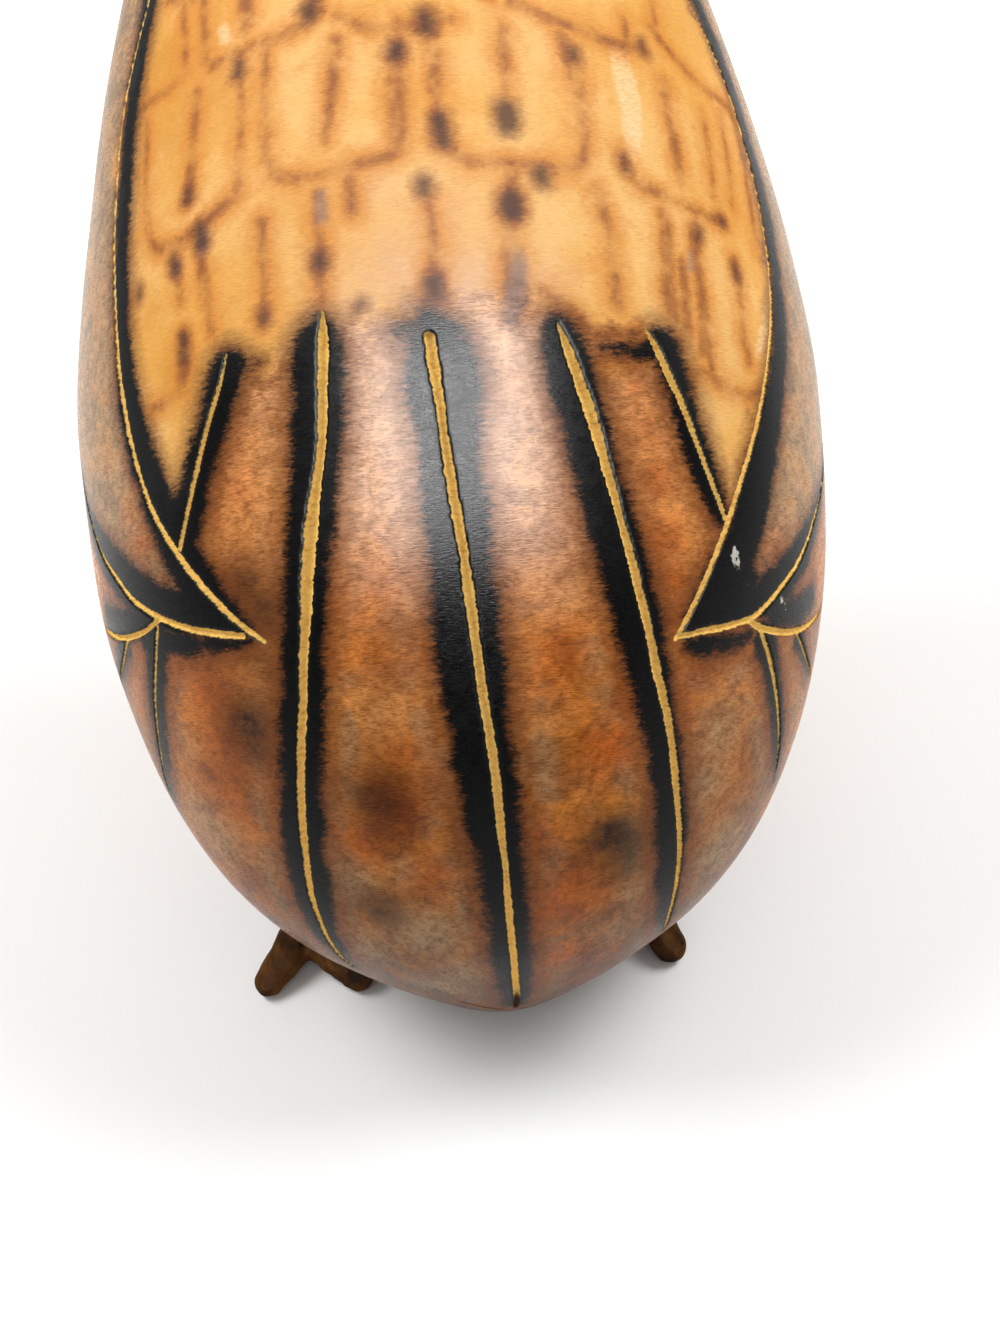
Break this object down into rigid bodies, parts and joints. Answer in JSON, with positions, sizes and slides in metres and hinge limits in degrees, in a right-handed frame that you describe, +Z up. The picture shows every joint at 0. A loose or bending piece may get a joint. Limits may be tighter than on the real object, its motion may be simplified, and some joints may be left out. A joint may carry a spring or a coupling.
{
  "type": "carved gourd bird",
  "caption": "Standing bird made from a dried gourd, with carved wing and tail feather lines, smoke-burnt markings and forked twig feet.",
  "frame": {"origin": "on the surface it stands on, under the middle of the bounding box", "axes": "+Z up, the tail towards +Y and the beak towards -Y, the bird's left wing towards +X"},
  "size_m": [0.096, 0.1822, 0.1835],
  "materials": {
    "gourd_skin": "satin",
    "foot_left_wood": "satin",
    "foot_right_wood": "satin"
  },
  "bodies": {
    "root": {"gourd": "gourd_skin", "foot_left": "foot_left_wood", "foot_right": "foot_right_wood"}
  },
  "joints": []
}
